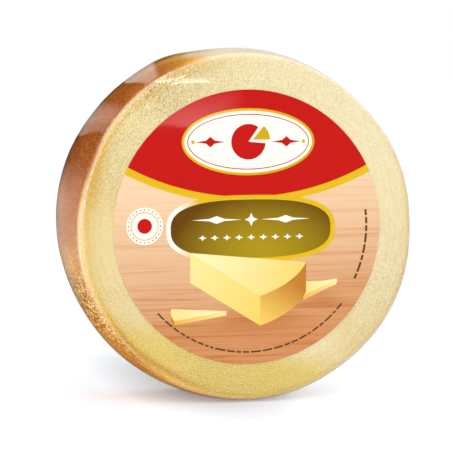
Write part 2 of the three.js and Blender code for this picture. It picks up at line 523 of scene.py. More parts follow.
def cheese_material():
    """Cream faces that turn straw yellow towards their foot, and a smoked side, with painted shade in
    the skin's wrinkles, along the face's edge and on the front shoulder, and painted glints on the
    wrinkles' crests.
    """
    material, tree = new_material("smoked_provolone")
    place = object_place(tree)
    side = painted(tree, "side")
    split = node(tree, "ShaderNodeSeparateXYZ", {0: place})
    x, z = split.outputs["X"], split.outputs["Z"]

    # The face: cream, straw-coloured towards the left, and old gold along its foot, in soft clouds.
    clouds = maths(tree, "SUBTRACT", spots(tree, place, 28.0, 3.0), 0.5)
    rightward = maths(tree, "ADD", x, times(tree, clouds, 0.10))
    face = mixed(tree, spread(tree, rightward, 0.05, -0.11), cream, straw)
    along = times(tree, x, math.cos(gold_bearing))
    down = times(tree, maths(tree, "SUBTRACT", z, axis_z), math.sin(gold_bearing))
    toward_gold = maths(tree, "ADD", maths(tree, "ADD", along, down), times(tree, clouds, 0.02))
    footed = times(tree, spread(tree, toward_gold, 0.076, 0.094), painted(tree, "rimward"))
    face = mixed(tree, footed, face, old_gold)
    colour = mixed(tree, painted(tree, "tan"), face, honey)
    # The golden band along the face's edge: partly the cheese's colour, partly painted shade from the
    # film's fold, darkest where strongest.
    gold_and_fold_shade = painted(tree, "gold_and_fold_shade")
    colour = mixed(tree, gold_and_fold_shade, colour, band_gold_and_shade)
    colour = mixed(tree, spread(tree, gold_and_fold_shade, 0.8, 1.9), colour, darkest_fold_shade)

    # The side: pale at the top, amber and then brown where the smoke has caught it, and browner still
    # on the front shoulder low on the left as painted shade.
    stains = maths(tree, "SUBTRACT", spots(tree, place, 14.0, 4.0, 0.55, 0.4), 0.5)
    stained = maths(tree, "ADD", painted(tree, "smoke_and_shade"), times(tree, stains, 0.42))
    shades = ((0.05, pale_side), (0.5, smoke_amber), (0.9, smoke_brown), (1.0, deep_brown))
    colour = mixed(tree, side, colour, ramp(tree, stained, shades))

    # Fine mottling, streaks and pale lines round the wheel, and painted shade in the skin's creases.
    height = drawn_by(tree, skin_wrinkles, place, Scale=330.0)
    mottled = spread(tree, spots(tree, place, 260.0, 4.0, 0.65), 0.35, 0.68)
    colour = mixed(tree, times(tree, mottled, 0.05), colour, old_gold, "MULTIPLY")
    streaked = spread(tree, streaks(tree, place, 60.0, 650.0), 0.42, 0.68)
    colour = mixed(tree, times(tree, streaked, 0.14), colour, honey, "MULTIPLY")
    lines = spread(tree, streaks(tree, place, 16.0, 900.0), 0.50, 0.70)
    lines = times(tree, lines, times(tree, painted(tree, "lined"), 0.40))
    colour = mixed(tree, lines, colour, pale_line)
    # Painted shade in the creases of the leathery skin.
    painted_crease_shade = times(tree, spread(tree, height, 0.55, 0.2), 0.08)
    colour = mixed(tree, painted_crease_shade, colour, honey, "MULTIPLY")

    # Crazing: each fine wrinkle has painted shade in its floor and a painted glint on its crest.
    crazed = painted(tree, "crazed")
    face_wrinkles = drawn_by(tree, skin_crazing, place, Wrinkles=(1400.0, 1400.0, 750.0))
    side_wrinkles = drawn_by(tree, skin_crazing, place, Wrinkles=(600.0, 190.0, 600.0))
    rows = drawn_by(tree, skin_dimples, place, Rows=560.0)
    face_wrinkles = mixed(tree, painted(tree, "dimpled"), face_wrinkles, rows)
    fine = mixed(tree, side, face_wrinkles, side_wrinkles)
    painted_wrinkle_shade = times(tree, spread(tree, fine, 0.5, 0.0), crazed)
    top = maths(tree, "SUBTRACT", 1.0, times(tree, side, 0.30))
    painted_glints = times(tree, spread(tree, fine, 0.55, top), crazed)
    colour = mixed(tree, painted_wrinkle_shade, colour, honey, "MULTIPLY")
    deepest_painted_shade = times(tree, spread(tree, fine, 0.22, 0.04), spread(tree, crazed, 0.75, 1.0))
    colour = mixed(tree, deepest_painted_shade, colour, wrinkle_shade_colour, "MULTIPLY")
    painted_glint = mixed(tree, side, face_painted_glint, side_painted_glint)
    colour = mixed(tree, times(tree, painted_glints, 0.8), colour, painted_glint)

    height = times(tree, height, 0.3)
    height = maths(tree, "ADD", height, times(tree, fine, crazed))
    bump = node(tree, "ShaderNodeBump", {"Height": height, "Strength": 0.8, "Distance": 0.0006})
    surface = node(
        tree,
        "ShaderNodeBsdfPrincipled",
        {
            "Base Color": colour,
            "Roughness": 0.5,
            "Specular IOR Level": 0.0,
            "Subsurface Weight": 0.15,
            "Subsurface Radius": (0.004, 0.002, 0.0008),
            "Subsurface Scale": 1.0,
            "Normal": bump.outputs["Normal"],
        },
    )
    surfaced(tree, surface)
    return material


cheese_turns = np.linspace(0, 2 * math.pi, 480, endpoint=False)
cheese_rings = stations(
    (
        (0.088, 0.006),
        (front_shoulder + 0.012, 0.0011),
        (back_shoulder - 0.012, 0.0024),
        (back_shoulder + 0.020, 0.0014),
        (section_end, 0.0032),
    )
)
cheese_base = wheel_points(cheese_rings, cheese_turns, 0.0)
dents = relief_of(cheese_base, dent_size) * dent_depth
dents = dents + relief_of(cheese_base, dimple_size) * dimple_depth
creases = relief_of(cheese_base, crease_size, octaves=3, ridged=True) * crease_depth
cheese_points = wheel_points(cheese_rings, cheese_turns, -film_clearance - dents - creases)
cheese_points[..., 2] = np.maximum(cheese_points[..., 2], floor_z + film_clearance)
cheese_radius = np.interp(cheese_rings, section_lengths, section_radii)[None, :]
past_shoulder = np.minimum(cheese_rings - front_shoulder, back_shoulder - cheese_rings)[None, :]
rimward = smooth_step(*even_within, cheese_radius)


def round_cheese(table):
    """A value given by bearing, over the cheese's mesh."""
    return by_bearing(table, cheese_turns)[:, None]


def on_face(table):
    """A value given by bearing, evened out towards the middle of a face."""
    values = round_cheese(table)
    return values.mean() + (values - values.mean()) * rimward


def hump(distance, reach):
    """1 where a distance is nothing, and less and less as it grows past its reach."""
    return np.exp(-((distance / reach) ** 2))


def smoke_and_shoulder_shade_on_mesh():
    """How smoked the cheese is over its mesh, with painted shade added on the front shoulder: the
    smoke's edges wander by some degrees.
    """
    wander = (relief_of(cheese_base, drift_size, octaves=3) - 0.5) * 2 * smoke_drift
    turns = cheese_turns[:, None] + wander * smooth_step(*drifts_from, past_shoulder)
    smoke_and_shade = by_bearing(smoke_by_bearing, cheese_turns)
    smoke_and_shade = np.interp(turns, cheese_turns, smoke_and_shade, period=2 * math.pi)
    # Painted shade, darker on the front shoulder.
    on_shoulder = hump(cheese_rings[None, :] - front_shoulder, shoulder_painted_shade_reach)
    return smoke_and_shade + round_cheese(shoulder_painted_shade) * on_shoulder


sideness = smooth_step(*smoke_soft, past_shoulder - round_cheese(smoke_margin))
# Where the golden band with its painted fold shade lies.
gold_and_fold_shade_band = hump(past_shoulder + round_cheese(gold_and_fold_shade_inset), round_cheese(gold_and_fold_shade_width))
tanned = face_tan + smooth_step(*tanned_from, past_shoulder) * round_cheese(edge_tan)
crazed_skin = on_face(face_crazing) * (1 - sideness) + round_cheese(side_crazing) * sideness
cheese = turned_mesh(
    "smoked_cheese",
    cheese_points,
    {
        "smoke_and_shade": smoke_and_shoulder_shade_on_mesh(),
        "tan": on_face(tan_by_bearing) * tanned,
        "gold_and_fold_shade": gold_and_fold_shade_band * round_cheese(gold_and_fold_shade_by_bearing),
        "dimpled": on_face(dimpled_by_bearing),
        "rimward": rimward,
        "lined": on_face(lined_by_bearing) * (1 - sideness),
        "side": sideness,
        "crazed": crazed_skin,
    },
)
cheese.data.materials.append(cheese_material())
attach(cheese, "root")
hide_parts("wrapped_cheese")


# ---------------------------------------------------------------------------------------------
# The bag. Clear film shrunk tight in hot water: smooth over the flat of the faces, crinkled round
# the edges, and gathered into one raised, whitened fold that runs round each shoulder.
fold_width = 0.0014
fold_height = 0.0005
fold_wander = 0.0003
fold_wander_size = 0.016
gather_size = 0.0045  # the fold is gathered more and less strongly by turns, this far apart
haze_reach = 0.0034
# How far the fold lies from the shoulder towards the face, in metres.
fold_inset = (
    (90, 0.0011), (112, 0.0001), (121, -0.0003), (130, 0.0003), (144, 0.0012), (153, 0.0025),
    (161, 0.0022), (170, 0.0017), (180, 0.0012), (190, -0.0004), (198, -0.0004), (205, -0.0003),
    (212, 0.0008), (220, 0.0013), (228, 0.0005), (238, -0.0002), (246, -0.0016), (256, 0.0004),
)
# How strongly the fold is gathered at each bearing.
gathered_by_bearing = (
    (60, 0.08), (88, 0.15), (98, 0.60), (112, 0.76), (130, 0.82), (150, 0.78), (170, 1.0),
    (188, 0.85), (200, 0.72), (212, 0.60), (222, 0.74), (236, 0.70), (246, 0.34), (258, 0.12),
    (340, 0.06),
)
# How strongly the film is hazed on the fold's outer side.
haze_by_bearing = (
    (122, 0.0), (136, 0.14), (146, 0.45), (158, 0.25), (168, 0.62), (182, 0.92), (194, 0.92),
    (208, 0.50), (222, 0.15), (240, 0.10), (255, 0.0),
)
# How far apart the fold's two pleats run: they part on the left and meet again.
pleat_gap = (
    (100, 0.0002), (160, 0.0003), (176, 0.0013), (190, 0.0021), (205, 0.0012), (212, 0.0003),
    (225, 0.0004), (250, 0.0003),
)
crinkle_height = 0.00030
crinkle_size = 0.0075
crinkle_patch = 0.05  # the crinkles come and go over this length
crinkle_reach = 0.016  # from the shoulders, where the crinkles fade
gloss_reach = 0.020  # from the shoulders, where the fine creases of the gloss fade
# How crinkled the film is at each bearing: drawn smooth high on the left, loose along the foot.
crinkle_by_bearing = (
    (20, 0.45), (60, 0.30), (92, 0.12), (104, 0.04), (150, 0.05), (185, 0.15), (202, 0.8),
    (240, 1.0), (285, 0.7), (340, 0.5),
)
free_from = (0.100, 0.106)  # in front the film lies flat within this radius, for the label
clear_film_tint = (0.98, 0.975, 0.96, 1)
whitened_film = (0.90, 0.70, 0.48, 1)

film_turns = np.linspace(0, 2 * math.pi, 512, endpoint=False)
film_rings = stations(
    (
        (0.096, 0.008),
        (front_shoulder - 0.006, 0.0011),
        (front_shoulder + 0.002, 0.0004),
        (front_shoulder + 0.020, 0.0011),
        (back_shoulder - 0.016, 0.0019),
        (back_shoulder - 0.003, 0.0014),
        (back_shoulder + 0.005, 0.0007),
        (back_shoulder + 0.026, 0.0014),
        (section_end, 0.0036),
    )
)
film_base = wheel_points(film_rings, film_turns, 0.0)
film_radius = np.interp(film_rings, section_lengths, section_radii)
from_shoulder = np.minimum(abs(film_rings - front_shoulder), abs(film_rings - back_shoulder))


def round_film(table):
    """A value given by bearing, over the film's mesh."""
    return by_bearing(table, film_turns)[:, None]


def near_shoulders(reach):
    """1 on the two shoulders and a quarter far from them."""
    return (0.25 + 0.75 * np.exp(-from_shoulder / reach))[None, :]


def fold_shape(shoulder, outward):
    """How strongly the fold along one shoulder stands up, and how white it is, from 0 to 1.
    It is two pleats side by side, that part and meet again, with a haze on the outer side."""
    ring = wheel_points(np.array([shoulder]), film_turns, 0.0)
    wander = (relief_of(ring, fold_wander_size, octaves=3) - 0.5) * 2 * fold_wander
    strength = 0.65 + 0.35 * relief_of(ring, gather_size, octaves=3)
    past = (film_rings[None, :] - shoulder) * outward + round_film(fold_inset) + wander
    second = past + round_film(pleat_gap)
    pleats = np.maximum(hump(past, fold_width / 2), hump(second, fold_width / 2))
    pleats = round_film(gathered_by_bearing) * strength * pleats
    haze = round_film(haze_by_bearing) * hump(past, haze_reach) * (past > 0)
    return pleats, np.maximum(pleats, haze)


def film_relief():
    """How far the film stands off its smooth shape, and how whitened it is, over its mesh."""
    front_fold, front_white = fold_shape(front_shoulder, 1)
    back_fold, back_white = fold_shape(back_shoulder, -1)
    patches = smooth_step(0.42, 0.72, relief_of(film_base, crinkle_patch))
    crinkles = relief_of(film_base, crinkle_size, octaves=3, ridged=True)
    free = smooth_step(*free_from, film_radius)
    free = np.where(film_rings > section_end / 2, 1.0, free)
    amount = free[None, :] * (0.25 + 0.75 * patches) * near_shoulders(crinkle_reach)
    amount = amount * round_film(crinkle_by_bearing)
    raised = (front_fold + back_fold) * fold_height + crinkles * crinkle_height * amount
    return raised, front_white + back_white


film_raised, film_folds = film_relief()
film_points = wheel_points(film_rings, film_turns, film_raised)
film_points[..., 2] = np.maximum(film_points[..., 2], floor_z)


def either_shader(tree, factor, first, second):
    """One shader mixed with another by a factor."""
    inputs = {0: factor, 1: first.outputs[0], 2: second.outputs[0]}
    return node(tree, "ShaderNodeMixShader", inputs)


def film_material():
    """Clear film: see-through, with a gloss that grows towards the edges and whitened folds."""
    material, tree = new_material("shrink_film")
    place = object_place(tree)
    fine = spots(tree, place, 420.0, 4.0, 0.6, 0.6)
    broad = spots(tree, place, 90.0, 3.0, 0.55, 0.8)
    drawn_out = streaks(tree, place, 45.0, 420.0)
    ripples = maths(tree, "ADD", maths(tree, "ADD", fine, drawn_out), times(tree, broad, 2.0))
    ripples = times(tree, ripples, painted(tree, "edge"))
    inputs = {"Height": ripples, "Strength": 0.6, "Distance": 0.0006}
    normal = node(tree, "ShaderNodeBump", inputs).outputs["Normal"]
    gloss = node(tree, "ShaderNodeBsdfGlossy", {"Roughness": 0.04, "Normal": normal})
    clear = node(tree, "ShaderNodeBsdfTransparent", {"Color": clear_film_tint})
    inputs = {"Base Color": whitened_film, "Roughness": 0.4, "Normal": normal}
    milky = node(tree, "ShaderNodeBsdfPrincipled", inputs)
    whitened = maths(tree, "POWER", painted(tree, "fold"), 1.3)
    whitened = times(tree, whitened, spread(tree, fine, 0.1, 0.6))
    body = either_shader(tree, times(tree, whitened, 0.9, clamp=True), clear, milky)
    # Light that comes back out through the film isn't mirrored in again, as it is in thick glass.
    behind = node(tree, "ShaderNodeNewGeometry").outputs["Backfacing"]
    shine = node(tree, "ShaderNodeFresnel", {"IOR": 1.45, "Normal": normal}).outputs[0]
    outer_shine = times(tree, shine, maths(tree, "SUBTRACT", 1.0, behind))
    surfaced(tree, either_shader(tree, outer_shine, body, gloss))
    return material


film_edge = near_shoulders(gloss_reach) * round_film(crinkle_by_bearing)
film = turned_mesh("clear_film", film_points, {"fold": film_folds, "edge": film_edge})
film.data.materials.append(film_material())
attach(film, "root")
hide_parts("wrapped_cheese")


# ---------------------------------------------------------------------------------------------
# The label. A round of printed film stuck on the bag: a red cap with a gold edge and a plain
# cream cartouche, an olive plaque, and a cut cheese on a peach-coloured wood ground. The print
# is laid out in metres from the label's middle, right and up, each shape over those before it.
label_radius = (label_high.x - label_low.x) / 2
label_thickness = 0.0003
label_lift = 0.00025  # from the flat of the film to the middle of the label's thickness

plaque_middle = (0.002, -0.001)
plaque_half = (0.058, 0.0205)
plaque_bow = 2 / 2.7  # at 1 an ellipse, nearer to 0 a rectangle

peach_light = (0.88, 0.635, 0.41)
peach = (0.63, 0.30, 0.130)
cap_red = (0.53, 0.011, 0.009)
stripe_gold = (0.74, 0.47, 0.015)
cartouche_cream = (0.95, 0.92, 0.82)
plaque_brown = (0.13, 0.055, 0.006)
plaque_olive = (0.40, 0.28, 0.012)
plaque_gold = (0.62, 0.38, 0.012)
cheese_pale = (0.97, 0.87, 0.50)
cheese_gold = (0.92, 0.62, 0.13)
cut_light = (0.95, 0.76, 0.30)
cut_deep = (0.80, 0.42, 0.06)
rind_amber = (0.52, 0.20, 0.03)
print_brown = (0.12, 0.05, 0.015)
ink_speck = (0.5, 0.4, 0.3)
wood_line = (0.82, 0.60, 0.46)
wood_band = (0.92, 0.78, 0.66)
wood_slant = (0, math.radians(9), 0)
ground_shade = (0.55, 0.22, 0.08)


def arc(centre, radii, start, end, count):
    """Points along part of an ellipse, from one angle in degrees to another."""
    turns = np.radians(np.linspace(start, end, count))
    return np.stack([centre[0] + radii[0] * np.cos(turns), centre[1] + radii[1] * np.sin(turns)], 1)


def oval(centre, radii, count=72):
    """A whole ellipse."""
    return arc(centre, radii, 0, 360 - 360 / count, count)


def cap_edge(drop):
    """The lower edge of the red cap, a sagging arc from rim to rim, lowered by drop."""
    side_height, middle_height = 0.043 - drop, 0.0215 - drop
    half_width = math.sqrt(label_radius**2 - side_height**2)
    sag = side_height - middle_height
    radius = (half_width**2 + sag**2) / (2 * sag)
    reach = math.degrees(math.asin(half_width / radius))
    centre = (0, middle_height + radius)
    return arc(centre, (radius, radius), -90 - reach, -90 + reach, 60)


def cap(drop):
    """The cap's whole outline. It runs past the label's rim, where the label's cut ends it."""
    edge = cap_edge(drop)
    start = math.degrees(math.atan2(edge[-1][1], edge[-1][0]))
    past_rim = label_radius * 1.05
    return np.concatenate([edge, arc((0, 0), (past_rim, past_rim), start, 180 - start, 60)])


def plaque_outline(grow):
    """A wide plaque with bowed sides, as a superellipse, made larger all round by grow."""
    turns = np.linspace(0, 2 * math.pi, 120, endpoint=False)
    sides = []
    for middle, half, wave in zip(plaque_middle, plaque_half, (np.cos(turns), np.sin(turns))):
        sides.append(middle + (half + grow) * np.sign(wave) * np.abs(wave) ** plaque_bow)
    return np.stack(sides, 1)


shapes = []


def ink(outline, colour_at, grain=0.0):
    """Adds a printed shape. colour_at gives its colour at u, v, and grain how much wood shows."""
    shapes.append((np.asarray(outline, float), colour_at, grain))


def plain(colour):
    """The same colour all over a shape."""
    return lambda u, v: colour


def shaded(first, second, start, end):
    """A colour that turns from first at start into second at end."""
    start, along = np.array(start), np.array(end) - np.array(start)

    def colour_at(u, v):
        share = ((u - start[0]) * along[0] + (v - start[1]) * along[1]) / (along @ along)
        share = min(max(share, 0.0), 1.0)
        return tuple(a + (b - a) * share for a, b in zip(first, second))

    return colour_at


def glowing(middle, edge, centre, radii):
    """A colour that turns from middle into edge with the distance from a centre."""

    def colour_at(u, v):
        share = math.hypot((u - centre[0]) / radii[0], (v - centre[1]) / radii[1])
        share = min(share, 1.0) ** 1.6
        return tuple(a + (b - a) * share for a, b in zip(middle, edge))

    return colour_at


# The red cap and its gold edge.
ink(cap(0.0048), plain(stripe_gold))
ink(cap(0.0), plain(cap_red))

# The cartouche: a cream oval in a gold ring, with a cut wheel between two lozenges in red.
cartouche = (0.0, 0.0600)


def lozenge(centre, width, height):
    """A diamond with slightly hollow sides."""
    corners = ((1, 0), (0.3, 0.3), (0, 1), (-0.3, 0.3), (-1, 0), (-0.3, -0.3), (0, -1), (0.3, -0.3))
    return [(centre[0] + a * width / 2, centre[1] + b * height / 2) for a, b in corners]


def sector(centre, radius, start, end):
    """A slice of a disc, between two angles in degrees."""
    return np.concatenate([[centre], arc(centre, (radius, radius), start, end, 40)])


def nested(centre, bands):
    """Ovals one inside the other, each with its two radii and its colouring."""
    for radii, colour_at in bands:
        ink(oval(centre, radii), colour_at)


gilt = shaded(stripe_gold, plaque_gold, (-0.04, 0.08), (0.04, 0.04))
cartouche_bands = (
    ((0.0480, 0.0235), gilt),
    ((0.0462, 0.0217), plain(cartouche_cream)),
    ((0.0440, 0.0195), plain(cap_red)),
    ((0.0433, 0.0188), plain(cartouche_cream)),
)
nested(cartouche, cartouche_bands)
ink(sector(cartouche, 0.0125, 55, 355), plain(cap_red))
ink(sector((cartouche[0] + 0.0030, cartouche[1] + 0.0014), 0.0125, 0, 50), plain(plaque_gold))
for hand in (-1, 1):
    ink(lozenge((hand * 0.0275, cartouche[1]), 0.021, 0.0075), plain(cap_red))
    ink(oval((hand * 0.0400, cartouche[1]), (0.0013, 0.0013), 16), plain(plaque_gold))

# The olive plaque with its gold rim, a bar of lozenges and a row of small ones.
ink(plaque_outline(0.0032), shaded(cartouche_cream, stripe_gold, (-0.052, 0), (-0.036, 0)))
ink(plaque_outline(0.0), glowing(plaque_olive, plaque_brown, (0.010, -0.016), (0.066, 0.040)))
for hand in (-1, 1):
    ink(lozenge((0.002 + hand * 0.025, 0.0055), 0.036, 0.0055), plain(cartouche_cream))
ink(lozenge((0.002, 0.0055), 0.0095, 0.0095), plain(cartouche_cream))
for place in range(-4, 5):
    ink(lozenge((0.002 + place * 0.0088, -0.0070), 0.0062, 0.0042), plain(cartouche_cream))

# The picture: a cut wedge and some slices on the wood, drawn from above. Places are on the
# wood's plane, right and back from the picture's middle.
picture = (0.0, -0.0500)
board_slant = 0.45


def drawn(points, height=0.0):
    """Points of the board's plane, raised by height, as places on the label."""
    points = np.asarray(points, float)
    return np.stack([picture[0] + points[:, 0], picture[1] + points[:, 1] * board_slant + height], 1)


def drawn_side(points, low, high, colour_at):
    """An upright side over a run of the board's points."""
    ink(np.concatenate([drawn(points, low), drawn(points, high)[::-1]]), colour_at)


def drawn_slice(apex, radius, start, end, low, high, cut):
    """A slice of cheese: its far cut is hidden, its rind and its near cut show, and its top."""
    rind = arc(apex, (radius, radius), start, end, 24)
    facing = np.sin(np.radians(np.linspace(start, end, 24))) < 0.02
    middle = drawn([apex], high)[0]
    far = drawn([rind[12]], high)[0]
    drawn_side(rind[facing], low, high, shaded(cheese_gold, rind_amber, drawn(rind[:1])[0], far))
    for corner, turn in ((rind[0], start - 90), (rind[-1], end + 90)):
        if math.sin(math.radians(turn)) < 0:
            side = drawn([apex, corner])
            drawn_side([apex, corner], low, high, shaded(cut[0], cut[1], side[0], side[1]))
    top = drawn(np.concatenate([[apex], rind]), high)
    ink(top, shaded(cheese_pale, cheese_gold, middle, far * 1.25))


def toward_foot(u, v):
    """How near a place on the wood ground is to its foot: 0 at the cap, 1 there."""
    return min(max((0.035 - v + 0.12 * u) / 0.105, 0.0), 1.0)


def ground_colour(u, v):
    """The wood ground: pale under the cap, browner towards the foot."""
    share = toward_foot(u, v) ** 1.15
    return tuple(a + (b - a) * share for a, b in zip(peach_light, peach))


def shade_under(centre, radii):
    """A soft shadow on the wood ground, gone at the edge of an oval."""

    def colour_at(u, v):
        share = min(math.hypot((u - centre[0]) / radii[0], (v - centre[1]) / radii[1]), 1.0)
        depth = 0.75 * (1 - share * share) ** 2
        return tuple(a + (b - a) * depth for a, b in zip(ground_colour(u, v), ground_shade))

    return colour_at


soft_shadows = (((0.008, -0.0660), (0.052, 0.0155)), ((0.052, -0.0520), (0.026, 0.0100)))
for centre, radii in soft_shadows:
    ink(oval(centre, radii), shade_under(centre, radii), grain=1.0)
drawn_slice((0.0640, 0.018), 0.036, 182, 214, 0.0, 0.0030, (cut_light, cut_deep))
drawn_slice((0.0650, 0.014), 0.036, 194, 226, 0.0030, 0.0060, (cut_light, cut_deep))
drawn_slice((-0.0420, 0.026), 0.086, -54, -12, 0.0, 0.0210, (cut_light, cheese_gold))
drawn_slice((-0.0160, -0.026), 0.040, 172, 200, 0.0, 0.0030, (cut_light, cut_deep))

# A plain seal on the left, and rows of brown dashes along the rim.
seal = (-0.0745, 0.0020)
seal_bands = (
    ((0.0130, 0.0130), plain(cartouche_cream)),
    ((0.0100, 0.0100), plain(stripe_gold)),
    ((0.0093, 0.0093), plain(cartouche_cream)),
    ((0.0052, 0.0052), plain(cap_red)),
)
nested(seal, seal_bands)
for number in range(24):
    turn = math.radians(number * 15)
    dot = (seal[0] + 0.0115 * math.cos(turn), seal[1] + 0.0115 * math.sin(turn))
    ink(oval(dot, (0.0005, 0.0005), 8), plain(print_brown))


def dashes(radius, start, end, width, seed):
    """A row of dashes of uneven length along part of a circle, between two angles in degrees."""
    rng = np.random.default_rng(seed)
    turn = start
    while turn < end:
        reach = math.degrees(rng.uniform(0.0022, 0.0075) / radius)
        outer = arc((0, 0), (radius + width / 2, radius + width / 2), turn, turn + reach, 6)
        inner = arc((0, 0), (radius - width / 2, radius - width / 2), turn + reach, turn, 6)
        ink(np.concatenate([outer, inner]), plain(print_brown))
        turn += reach + math.degrees(0.0013 / radius)


dashes(0.0880, 222, 318, 0.0012, 5)
dashes(0.0865, -26, 8, 0.0016, 8)


def label_proud(u, v):
    """How far the label bulges off its flat at a place: soft waves, and puckers at its sides."""
    radius = math.hypot(u, v)
    waves = noise.noise((u / 0.045, v / 0.045, 3.7)) * 0.00005
    near_rim = max(0.0, (radius - 0.080) / 0.016)
    turn = math.degrees(math.atan2(v, abs(u)))
    pucker = math.exp(-(((turn - 14) / 7) ** 2)) * near_rim**2
    return waves + pucker * 0.00018 * math.sin(turn * 1.9 + u * 900)


def inside(outline, places):
    """Which of some places lie inside an outline."""
    u, v = places[:, :1], places[:, 1:]
    start, end = outline, np.roll(outline, -1, axis=0)
    straddles = (start[:, 1] > v) != (end[:, 1] > v)
    rise = np.where(end[:, 1] == start[:, 1], 1.0, end[:, 1] - start[:, 1])
    crossing = start[:, 0] + (v - start[:, 1]) * (end[:, 0] - start[:, 0]) / rise
    return (straddles & (u < crossing)).sum(axis=1) % 2 == 1


def label_cells():
    """The label's disc cut into triangles along every shape's outline, and each one's top shape."""
    rim = oval((0, 0), (label_radius, label_radius), 240)
    points, edges = [], []
    for outline in [rim] + [shape[0] for shape in shapes]:
        numbers = list(range(len(points), len(points) + len(outline)))
        edges += list(zip(numbers, numbers[1:] + numbers[:1]))
        points += outline.tolist()
    spacing = 0.0034
    steps = np.arange(-label_radius, label_radius, spacing)
    for row, v in enumerate(steps):
        for u in steps + (row % 2) * spacing / 2:
            if math.hypot(u, v) < label_radius - spacing / 2:
                points.append((u, v))
    places = [Vector(p) for p in points]
    flat, _, cells, _, _, _ = delaunay_2d_cdt(places, edges, [], 0, 1e-7, False)
    corners = np.array([tuple(p) for p in flat])
    middles = corners[np.array(cells)].mean(axis=1)
    cells = [cell for cell, kept in zip(cells, inside(rim, middles)) if kept]
    middles = middles[inside(rim, middles)]
    tops = np.zeros(len(cells), int)
    for number, shape in enumerate(shapes):
        tops[inside(shape[0], middles)] = number + 1
    return corners.tolist(), cells, tops


def label_piece():
    """The label as a closed sheet: printed front, plain back, and a thin edge."""
    flat, cells, tops = label_cells()
    used = sorted({corner for cell in cells for corner in cell})
    number = {corner: place for place, corner in enumerate(used)}
    flat = [flat[corner] for corner in used]
    cells = [[number[corner] for corner in cell] for cell in cells]
    film_front = middle_y - half_thickness
    vertices = []
    for depth in (label_lift + label_thickness / 2, label_lift - label_thickness / 2):
        for u, v in flat:
            vertices.append((axis_x + u, film_front - depth - label_proud(u, v), axis_z + v))
    count = len(flat)
    rim_edges = {}  # those that only one cell has
    for cell in cells:
        for a, b in zip(cell, cell[1:] + cell[:1]):
            if (b, a) in rim_edges:
                rim_edges.pop((b, a))
            else:
                rim_edges[(a, b)] = True
    faces = cells + [[corner + count for corner in cell[::-1]] for cell in cells]
    faces += [[b, a, a + count, b + count] for a, b in rim_edges]
    mesh = bpy.data.meshes.new("label_print")
    mesh.from_pydata(vertices, [], faces)
    inks = mesh.attributes.new("ink", "FLOAT_COLOR", "CORNER")
    values = []
    for place, polygon in enumerate(mesh.polygons):
        printed = place < len(cells)
        top = tops[place] if printed else 0
        colour_at, grain = (ground_colour, 1.0) if top == 0 else shapes[top - 1][1:]
        for corner in polygon.vertices:
            u, v = flat[corner % count]
            shown = grain * (0.25 + 0.75 * toward_foot(u, v))
            values += (*colour_at(u, v), shown) if printed else (*cartouche_cream, 0.0)
    inks.data.foreach_set("color", values)
    mesh.shade_smooth()
    mesh.set_sharp_from_angle(angle=math.radians(40))
    return placed("label_print", mesh)


def wood_grain(tree, place, scale, *looks):
    """Grain drawn out along the wood, with this many spots a metre along X, Y and Z."""
    inputs = {"Vector": place, "Rotation": wood_slant, "Scale": scale}
    return spots(tree, node(tree, "ShaderNodeMapping", inputs).outputs[0], 1.0, *looks)


def label_material():
    """Printed film: inks under a clear gloss, with wood grain where the ground shows."""
    material, tree = new_material("printed_label")
    place = object_place(tree)
    inks = node(tree, "ShaderNodeAttribute", attribute_name="ink")
    lines = spread(tree, wood_grain(tree, place, (10.0, 1.0, 380.0), 3.0, 0.6, 0.6), 0.48, 0.72)
    bands = spread(tree, wood_grain(tree, place, (5.0, 1.0, 70.0), 2.0, 0.5, 0.8), 0.42, 0.75)
    lines = mixed(tree, lines, (1, 1, 1), wood_line)
    wood = mixed(tree, 1.0, lines, mixed(tree, bands, (1, 1, 1), wood_band), "MULTIPLY")
    ground = mixed(tree, inks.outputs["Alpha"], (1, 1, 1), wood)
    colour = mixed(tree, 1.0, inks.outputs["Color"], ground, "MULTIPLY")
    speckle = spread(tree, spots(tree, place, 1500.0, 2.0), 0.3, 0.7)
    colour = mixed(tree, times(tree, speckle, 0.05), colour, ink_speck, "MULTIPLY")
    inputs = {"Height": spots(tree, place, 60.0, 2.0), "Strength": 0.08, "Distance": 0.0003}
    bump = node(tree, "ShaderNodeBump", inputs)
    surface = node(
        tree,
        "ShaderNodeBsdfPrincipled",
        {
            "Base Color": colour,
            "Roughness": 0.5,
            "Specular IOR Level": 0.0,
            "Coat Weight": 1.0,
            "Coat Roughness": 0.03,
            "Normal": bump.outputs["Normal"],
            "Coat Normal": bump.outputs["Normal"],
        },
    )
    surfaced(tree, surface)
    return material


label = label_piece()
label.data.materials.append(label_material())
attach(label, "root")
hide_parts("label")


# ---------------------------------------------------------------------------------------------
# The studio. A white floor under a white sky, with broad lights from above and in front, and
# fill lights without shadows from the left and behind. For the camera the floor glows white but
# for a soft painted shadow round the wheel's foot. Boards behind the wheel and cards before it
# show only as reflections on its film.
floor_size = 30.0
floor_white = (0.86, 0.865, 0.87)
floor_seen = (0.455, 0.475, 0.51)  # darker for the camera, which sees it glow as well
floor_glow = (0.58, 0.58, 0.60)
# A painted shadow: round this place the floor's glow for the camera fades out, over these reaches.
painted_shadow_centre = (-0.015, 0.080, 0.0)  # the floor glows for the camera except round this place
painted_shadow_reach = (0.066, 0.230, 1.0)
mirrored_sky = (
    (0.0, (0.05, 0.035, 0.02)),
    (0.5, (0.05, 0.045, 0.04)),
    (0.7, (0.10, 0.10, 0.10)),
    (0.85, (0.35, 0.35, 0.36)),
    (1.0, (0.8, 0.8, 0.8)),
)
sky_light = 0.48


def plane(name, corners):
    """A flat four-cornered mesh."""
    mesh = bpy.data.meshes.new(name)
    mesh.from_pydata(corners, [], [list(range(len(corners)))])
    piece = placed(name, mesh)
    return piece


